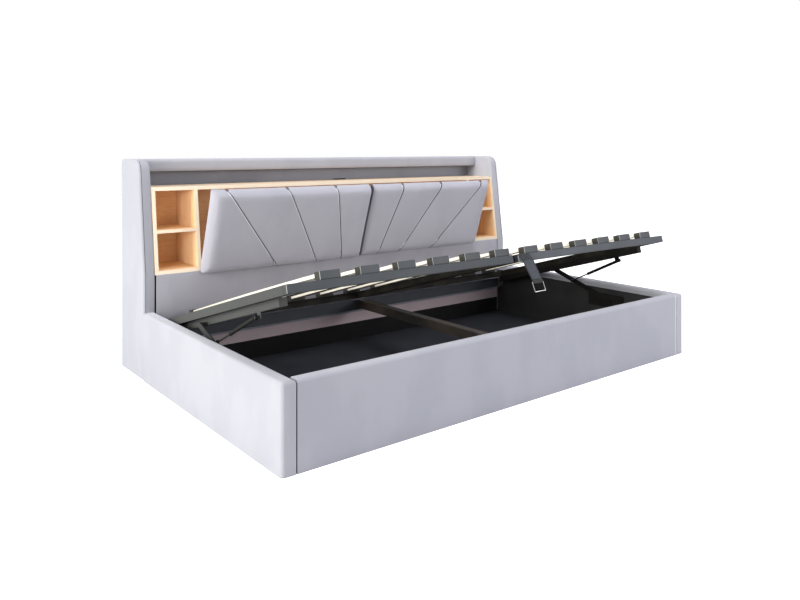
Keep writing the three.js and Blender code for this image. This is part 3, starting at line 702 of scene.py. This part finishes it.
# Its warm patches are a painted highlight.
warm_black_steel = powder_coat("warm_black_steel", (0.014, 0.012, 0.011), (0.045, 0.034, 0.026),
                               roughness=0.45)
plate_steel = powder_coat("plate_steel", (0.16, 0.17, 0.18), (0.20, 0.21, 0.22))
plate_width, plate_thickness, plate_edge, plate_drop = 0.038, 0.0022, 0.0006, 0.002
plate_seat = 0.0001
screw_radius, screw_taper, screw_depth, screw_sides = 0.0050, 0.7, 0.0016, 20
screw_heights = (0.3, 0.7)
rail_low, rail_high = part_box("rear_rail")
plate_front = rail_low.y - plate_thickness
for side, sign in (("left", -1), ("right", 1)):
    ends = sorted((sign * (rail_high.x - plate_width), sign * rail_high.x))
    plate = upholstered((ends[0], plate_front, rail_low.z - plate_drop),
                        (ends[1], rail_low.y - plate_seat, rail_high.z), plate_edge)
    for height in screw_heights:
        head = Vector((sum(ends) / 2, plate_front - screw_depth / 2,
                       rail_low.z + height * (rail_high.z - rail_low.z)))
        place = Matrix.Translation(head) @ Matrix.Rotation(math.pi / 2, 4, "X")
        bmesh.ops.create_cone(plate, cap_ends=True, segments=screw_sides, radius1=screw_radius,
                              radius2=screw_radius * screw_taper, depth=screw_depth, matrix=place)
    finished(plate, "rail_plate_" + side, "bed_frame", [plate_steel])
    dress("lift_plate_" + side, black_steel)
    dress("flap_hinge_" + side, black_steel)
dress("rear_rail", dark_blue_steel)
dress("centre_beam", warm_black_steel)


# Platform frames. Two welded frames of square tube, side by side, lifted as one by their
# front edge. The front beams have closed ends, and their upright corners are painted pale
# as a highlight. The right front beam is painted paler than the left, and the tube and
# channel at the left end a greener grey, as the light on them; the tube and channel at
# the right end are painted near black as shade.
blue_steel = powder_coat("blue_steel", (0.056, 0.063, 0.073), (0.066, 0.074, 0.084), gloss=0.3)
lit_blue_steel = powder_coat("lit_blue_steel", (0.080, 0.089, 0.105), (0.080, 0.088, 0.102), gloss=0.3)
lit_green_steel = powder_coat("lit_green_steel", (0.052, 0.055, 0.055), (0.061, 0.064, 0.064), gloss=0.3)
# Its brown patches are a painted highlight in the shade.
shade_steel = powder_coat("shade_steel", (0.012, 0.012, 0.011), (0.040, 0.036, 0.028),
                          roughness=0.6, gloss=0.15)
# Pale steel painted as a highlight on upright corners.
painted_highlight_steel = powder_coat("painted_highlight_steel", (0.42, 0.43, 0.45), (0.34, 0.35, 0.37), roughness=0.45)
platform_corner = Vector((0, -0.7007, 0.5676))
platform_tilt = math.radians(-15.42)
platform_along = Vector((0, math.cos(platform_tilt), math.sin(platform_tilt)))
platform_up = Vector((0, -math.sin(platform_tilt), math.cos(platform_tilt)))
beam_turn = Matrix.Translation(platform_corner) @ Matrix.Rotation(platform_tilt, 4, "X")
beam_depth, beam_height, beam_ease = 0.025, 0.031, 0.0018
corner_from, corner_to, corner_ahead = 0.3, 0.97, 0.2
for side, beam_steel in (("left", blue_steel), ("right", lit_blue_steel)):
    low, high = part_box("front_beam_" + side)
    beam = upholstered((low.x, 0, -beam_height), (high.x, beam_depth, 0), beam_ease)
    beam_coat = [beam_steel, painted_highlight_steel, lit_green_steel]
    for face in beam.faces:
        upright = abs(face.normal.z) < corner_from and face.normal.y < -corner_ahead
        if upright and corner_from < abs(face.normal.x) < corner_to:
            face.material_index = beam_coat.index(painted_highlight_steel)
        # The left beam's end face is painted as the lit end tube.
        elif face.normal.x < -square_on and side == "left":
            face.material_index = beam_coat.index(lit_green_steel)
    bmesh.ops.transform(beam, matrix=beam_turn, verts=beam.verts)
    finished(beam, "beam_front_" + side, "platform",
             beam_coat, stands_for=["front_beam_" + side])
    dress("rear_beam_" + side, shade_steel)
    dress("middle_tube_" + side, shade_steel)
dress("end_tube_left", lit_green_steel)
dress("lift_channel_left", lit_green_steel)
# The right end's tube and channel are painted dark as shade.
dress("end_tube_right", shade_steel)
dress("lift_channel_right", black_steel)


# Slats and their caps. Bent birch ply, pale lacquered, each end held in a moulded cap
# that is riveted to the beam. The front caps' upright edges are painted pale as a highlight.
birch_dark, birch_light = (0.90, 0.84, 0.72), (0.95, 0.91, 0.83)
slat_extra = 0.0035
merge_reach = 0.00002


def birch(name):
    material, tree, shader, coordinates = new_material(name)
    wood = turned_grain(tree, coordinates, (0, 0, math.radians(90)))
    face = blend_colours(tree, wood["Figure"], birch_dark, birch_light)
    tree.links.new(face, shader.inputs["Base Color"])
    shader.inputs["Roughness"].default_value = 0.45
    add_relief(tree, wood["Pores"], distance=0.0002, strength=0.2)
    return material


def copied(node):
    """A merged copy of a CAD piece's mesh."""
    shell = bmesh.new()
    shell.from_mesh(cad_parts[node].data)
    for face in shell.faces:
        face.material_index = 0
    bmesh.ops.remove_doubles(shell, verts=shell.verts, dist=merge_reach)
    return shell


birch_ply = birch("birch_ply")
for side in ("left", "right"):
    for number in range(1, 7):
        slat = copied(f"slat_{side}_{number}")
        under = {v for f in slat.faces if f.normal.dot(platform_up) < -turned_to for v in f.verts}
        bmesh.ops.translate(slat, vec=-platform_up * slat_extra, verts=list(under))
        finished(slat, f"ply_slat_{side}_{number}", "platform", [birch_ply],
                 stands_for=[f"slat_{side}_{number}"])

seat_black, seat_from, seat_to = (0.010, 0.010, 0.010), 0.0012, 0.0034
cap_glint = 1.15


def moulding(name, face_colour, side_colour):
    """Moulded plastic: its faces, its ends in shade, and the dark line where it sits on the steel."""
    material, tree, shader, coordinates = new_material(name)
    paint = place_group(tree, coat, coordinates)
    sideways = tree.nodes.new("ShaderNodeMath")
    sideways.operation = "ABSOLUTE"
    tree.links.new(facing(tree)["X"], sideways.inputs[0])
    share = remap(tree, sideways.outputs["Value"], low=0.5, high=0.8)
    glint = tuple(c * cap_glint for c in face_colour)
    front = blend_colours(tree, paint["Mottle"], face_colour, glint)
    sided = blend_colours(tree, share, front, side_colour)
    level = tree.nodes.new("ShaderNodeMapping")
    level.vector_type = "TEXTURE"
    level.inputs["Location"].default_value = platform_corner
    level.inputs["Rotation"].default_value = (platform_tilt, 0, 0)
    tree.links.new(coordinates, level.inputs["Vector"])
    raised = tree.nodes.new("ShaderNodeSeparateXYZ")
    tree.links.new(level.outputs["Vector"], raised.inputs["Vector"])
    seat = remap(tree, raised.outputs["Z"], low=seat_from, high=seat_to)
    tree.links.new(blend_colours(tree, seat, seat_black, sided), shader.inputs["Base Color"])
    shader.inputs["Roughness"].default_value = 0.55
    add_relief(tree, paint["Grit"], distance=0.0003, strength=0.3)
    return material


cap_plastic = moulding("cap_plastic", (0.047, 0.053, 0.062), (0.034, 0.032, 0.026))
shade_plastic = moulding("shade_plastic", (0.016, 0.016, 0.015), (0.034, 0.031, 0.024))
cap_ease, foremost_reach = 0.0015, 0.0005
flat_angle, parallel, upright_limit, across_limit = math.radians(1), 0.99, 0.3, 0.5
for side in ("left", "right"):
    foremost = min(v.co.dot(platform_along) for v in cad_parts["front_caps_" + side].data.vertices)
    caps = copied("front_caps_" + side)
    bmesh.ops.dissolve_limit(caps, angle_limit=flat_angle, verts=caps.verts, edges=caps.edges)
    corners = [e for e in sharp_edges(caps)
               if abs((e.verts[0].co - e.verts[1].co).normalized().dot(platform_up)) > parallel
               and e.verts[0].co.dot(platform_along) < foremost + foremost_reach]
    cap_finish = [cap_plastic, painted_highlight_steel]
    for face in rounded(caps, corners, cap_ease, segments=2)["faces"]:
        across = face.normal.cross(platform_up)
        if abs(face.normal.dot(platform_up)) < upright_limit and across.length > across_limit:
            face.material_index = cap_finish.index(painted_highlight_steel)
    finished(caps, "cap_row_" + side, "platform", cap_finish,
             stands_for=["front_caps_" + side])
    dress("rear_caps_" + side, shade_plastic)


# Lift arms and gas springs. Each side has one arm from the plate on the side rail to the
# channel under the platform, and one gas spring: a black cylinder and a blackened rod.
# The left arm is painted a lighter grey than the black right one, as the light on it.
lit_grey_arm = powder_coat("lit_grey_arm", (0.022, 0.023, 0.025), (0.032, 0.033, 0.035), gloss=0.3)
dark_rod = powder_coat("dark_rod", (0.012, 0.012, 0.013), (0.020, 0.020, 0.021), roughness=0.35, gloss=0.3)
dress("lift_arm_left", lit_grey_arm)
dress("lift_arm_right", black_steel)
for side in ("left", "right"):
    dress("gas_cylinder_" + side, black_steel)
    dress("gas_rod_" + side, dark_rod)


# Pull strap. A loop of woven webbing, fixed to the right front beam by a patch with
# crossed stitches, that hangs down with a bright wire ring in its end.
def woven(name, light, dark):
    material, tree, shader, coordinates = new_material(name)
    wave = tree.nodes.new("ShaderNodeTexWave")
    wave.inputs["Scale"].default_value = 260
    wave.inputs["Distortion"].default_value = 0.6
    tree.links.new(coordinates, wave.inputs["Vector"])
    tree.links.new(blend_colours(tree, wave.outputs["Fac"], dark, light), shader.inputs["Base Color"])
    shader.inputs["Roughness"].default_value = 0.85
    shader.inputs["Sheen Weight"].default_value = 0.2
    add_relief(tree, wave.outputs["Fac"], distance=0.0005, strength=0.6)
    return material


webbing = woven("webbing", light=(0.062, 0.070, 0.096), dark=(0.036, 0.041, 0.058))
selvedge = woven("selvedge", light=(0.020, 0.023, 0.032), dark=(0.012, 0.014, 0.020))
patch_webbing = woven("patch_webbing", light=(0.036, 0.041, 0.050), dark=(0.027, 0.031, 0.039))
loop_webbing = woven("loop_webbing", light=(0.016, 0.016, 0.019), dark=(0.010, 0.010, 0.012))
strap_thickness, strap_width, strap_narrowing = 0.0022, 0.062, 0.006
strap_left, patch_drift, fall_drift = 0.012, 0.019, 0.0455
strap_proud, patch_start, patch_end = 0.0018, 0.0008, 0.0300
bend_proud, bend_depth = 0.0030, 0.0350
ring_bar = Vector((0, -0.72512, 0.44951))
loop_radius, loop_tail, loop_turns = 0.0036, 0.024, range(180, 361, 30)


def on_platform(along, up):
    return platform_corner + platform_along * along + platform_up * up


patch_top, patch_foot = on_platform(-strap_proud, -patch_start), on_platform(-strap_proud, -patch_end)
strap_route = [patch_top, patch_foot, on_platform(-bend_proud, -bend_depth)]
for turn in loop_turns:
    way = Vector((0, math.cos(math.radians(turn)), math.sin(math.radians(turn))))
    strap_route.append(ring_bar + way * loop_radius)
strap_route.append(ring_bar + Vector((0, loop_radius, loop_tail)))
strap_lengths = [0]
for before, after in zip(strap_route, strap_route[1:]):
    strap_lengths.append(strap_lengths[-1] + (after - before).length)


def strap_point(share):
    """The middle line's place at a share of the strap's length."""
    distance = share * strap_lengths[-1]
    for number in range(1, len(strap_route)):
        if distance <= strap_lengths[number] + 1e-9:
            span = strap_lengths[number] - strap_lengths[number - 1]
            part = (distance - strap_lengths[number - 1]) / span
            return strap_route[number - 1].lerp(strap_route[number], part)
    return strap_route[-1]


def strap_side(height):
    """The left edge and the width at a height: it drifts to the right and narrows to the ring."""
    if height > patch_foot.z:
        share = (patch_top.z - height) / (patch_top.z - patch_foot.z)
        return strap_left + patch_drift * share, strap_width
    fall = min((patch_foot.z - height) / (patch_foot.z - ring_bar.z), 1)
    return strap_left + patch_drift + fall_drift * fall, strap_width - strap_narrowing * fall


strap_rows, strap_columns = 60, 10
selvedge_from, loop_cover = 0.41, 0.014
band = bmesh.new()
bmesh.ops.create_grid(band, x_segments=strap_columns, y_segments=strap_rows, size=0.5)
patch_share = strap_lengths[1] / strap_lengths[-1]
loop_share = (strap_lengths[3] - loop_cover) / strap_lengths[-1]
strap_weaves = [webbing, selvedge, patch_webbing, loop_webbing]
for face in band.faces:
    centre = face.calc_center_median()
    down = 0.5 - centre.y
    weave = selvedge if abs(centre.x) > selvedge_from else webbing
    if down < patch_share:
        weave = patch_webbing
    elif down > loop_share:
        weave = loop_webbing
    face.material_index = strap_weaves.index(weave)
for vertex in band.verts:
    across, down = vertex.co.x + 0.5, 0.5 - vertex.co.y
    place = strap_point(down)
    left, width = strap_side(place.z)
    vertex.co = (left + across * width, place.y, place.z)
bmesh.ops.solidify(band, geom=band.faces[:], thickness=strap_thickness)
finished(band, "woven_pull_strap", "platform", strap_weaves, stands_for=["pull_strap"])

stitch_length, stitch_spacing, stitch_width, stitch_height = 0.0034, 0.0052, 0.0011, 0.0009
stitch_proud, stitch_left, stitch_right = 0.0026, 0.07, 0.93
stitch_top, stitch_foot = 0.003, 0.002


def sew(thread, corners):
    """A row of short stitches round the given corners."""
    for a, b in zip(corners, corners[1:]):
        way = b - a
        count = max(int(way.length / stitch_spacing), 1)
        turn = way.to_track_quat("X", "Y").to_matrix().to_4x4()
        size = Matrix.Diagonal((stitch_length, stitch_width, stitch_height, 1))
        for number in range(count):
            place = Matrix.Translation(a + way * (number + 0.5) / count)
            bmesh.ops.create_cube(thread, size=1, matrix=place @ turn @ size)


def on_strap(across, height):
    left, width = strap_side(height)
    share = (patch_top.z - height) / (patch_top.z - patch_foot.z)
    place = patch_top.lerp(patch_foot, share)
    return Vector((left + across * width, place.y - stitch_proud, height))


thread = bmesh.new()
upper, lower = patch_top.z - stitch_top, patch_foot.z + stitch_foot
box = [on_strap(stitch_left, upper), on_strap(stitch_right, upper),
       on_strap(stitch_right, lower), on_strap(stitch_left, lower)]
sew(thread, box + box[:1])
sew(thread, [box[0], box[2]])
sew(thread, [box[1], box[3]])
finished(thread, "strap_stitches", "platform", [selvedge], smooth=False)
bright_steel = powder_coat("bright_steel", (0.62, 0.63, 0.65), (0.50, 0.51, 0.53), roughness=0.25,
                           metallic=1.0)
dress("strap_ring", bright_steel)


# Storage floor. Thin boards covered with dark grey non-woven cloth, with faint folds
# where the cloth was packed.
floor_cloth = lining("floor_cloth", thread=(0.042, 0.044, 0.055), shade=(0.028, 0.030, 0.038))
fold_places = (-0.62, -0.21, 0.19, 0.60)
fold_half, fold_height, fold_top, fold_reach = 0.006, 0.0016, 0.0005, 0.001
low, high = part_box("storage_floor")
board = upholstered(low, high, rail_tight)
for place in fold_places:
    for offset in (-fold_half, 0, fold_half):
        cut(board, (place + offset, 0, 0), (1, 0, 0))
for vertex in board.verts:
    if vertex.co.z > high.z - fold_top:
        if min(abs(vertex.co.x - place) for place in fold_places) < fold_reach:
            vertex.co.z += fold_height
finished(board, "lined_floor", "bed_frame", [floor_cloth], stands_for=["storage_floor"])


# Studio. A white floor that keeps a soft shadow and a white surround. A large warm light
# stands far to the left, weaker ones in front and overhead, and a small one reaches only
# the oak boards.
surround = bpy.data.worlds.new("surround")
bpy.context.scene.world = surround
surround.use_nodes = True
sky = surround.node_tree
path = sky.nodes.new("ShaderNodeLightPath")
seen = sky.nodes.new("ShaderNodeMath")
seen.operation = "MAXIMUM"
sky.links.new(path.outputs["Is Camera Ray"], seen.inputs[0])
sky.links.new(path.outputs["Is Glossy Ray"], seen.inputs[1])
seen_through = sky.nodes.new("ShaderNodeMath")
seen_through.operation = "MAXIMUM"
sky.links.new(seen.outputs["Value"], seen_through.inputs[0])
sky.links.new(path.outputs["Is Transmission Ray"], seen_through.inputs[1])
brightness = sky.nodes.new("ShaderNodeMapRange")
brightness.inputs["To Min"].default_value = 0.42
brightness.inputs["To Max"].default_value = 1.0
sky.links.new(seen_through.outputs["Value"], brightness.inputs["Value"])
background = sky.nodes["Background"]
background.inputs["Color"].default_value = (1, 1, 1, 1)
sky.links.new(brightness.outputs["Result"], background.inputs["Strength"])

ground = bmesh.new()
bmesh.ops.create_circle(ground, cap_ends=True, segments=64, radius=14)
studio_floor = placed(ground, "studio_floor")
studio_floor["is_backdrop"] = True
paper = bpy.data.materials.new("white_floor")
paper.use_nodes = True
tree = paper.node_tree
tree.nodes["Principled BSDF"].inputs["Base Color"].default_value = (0.82, 0.82, 0.82, 1)
tree.nodes["Principled BSDF"].inputs["Roughness"].default_value = 0.9
lift = tree.nodes.new("ShaderNodeEmission")
path = tree.nodes.new("ShaderNodeLightPath")
glow = tree.nodes.new("ShaderNodeMapRange")
glow.inputs["To Max"].default_value = 0.80
tree.links.new(path.outputs["Is Camera Ray"], glow.inputs["Value"])
tree.links.new(glow.outputs["Result"], lift.inputs["Strength"])
both = tree.nodes.new("ShaderNodeAddShader")
tree.links.new(tree.nodes["Principled BSDF"].outputs["BSDF"], both.inputs[0])
tree.links.new(lift.outputs["Emission"], both.inputs[1])
tree.links.new(both.outputs["Shader"], tree.nodes["Material Output"].inputs["Surface"])
studio_floor.data.materials.append(paper)


def soft_light(name, place, target, size, power, spread=180):
    lamp = bpy.data.lights.new(name, "AREA")
    lamp.shape = "DISK"
    lamp.size = size
    lamp.energy = power
    lamp.spread = math.radians(spread)
    holder = bpy.data.objects.new(name, lamp)
    holder.location = place
    holder.rotation_euler = (Vector(target) - Vector(place)).to_track_quat("-Z", "Y").to_euler()
    bpy.context.scene.collection.objects.link(holder)
    return holder


left_light = soft_light("left_light", place=(-11.0, -0.3, 3.2), target=(0, 0, 0.4), size=6.0, power=1450)
left_light.data.color = (1.0, 0.985, 0.90)
soft_light("front_light", place=(2.8, -5.2, 1.6), target=(0, 0, 0.4), size=2.4, power=102)
soft_light("top_light", place=(0.4, -0.5, 5.0), target=(0.3, 0, 0.3), size=3.0, power=120)
shelf_light = soft_light("shelf_light", place=(-3.5, -2.3, 1.22), target=(-0.7, 0.6, 0.68),
                         size=1.3, power=5.0, spread=38)
shelf_light.light_linking.receiver_collection = oak_boards

bpy.context.scene.view_settings.view_transform = "Standard"


# The size of this dressed model, once every piece is in its place.
low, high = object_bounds()
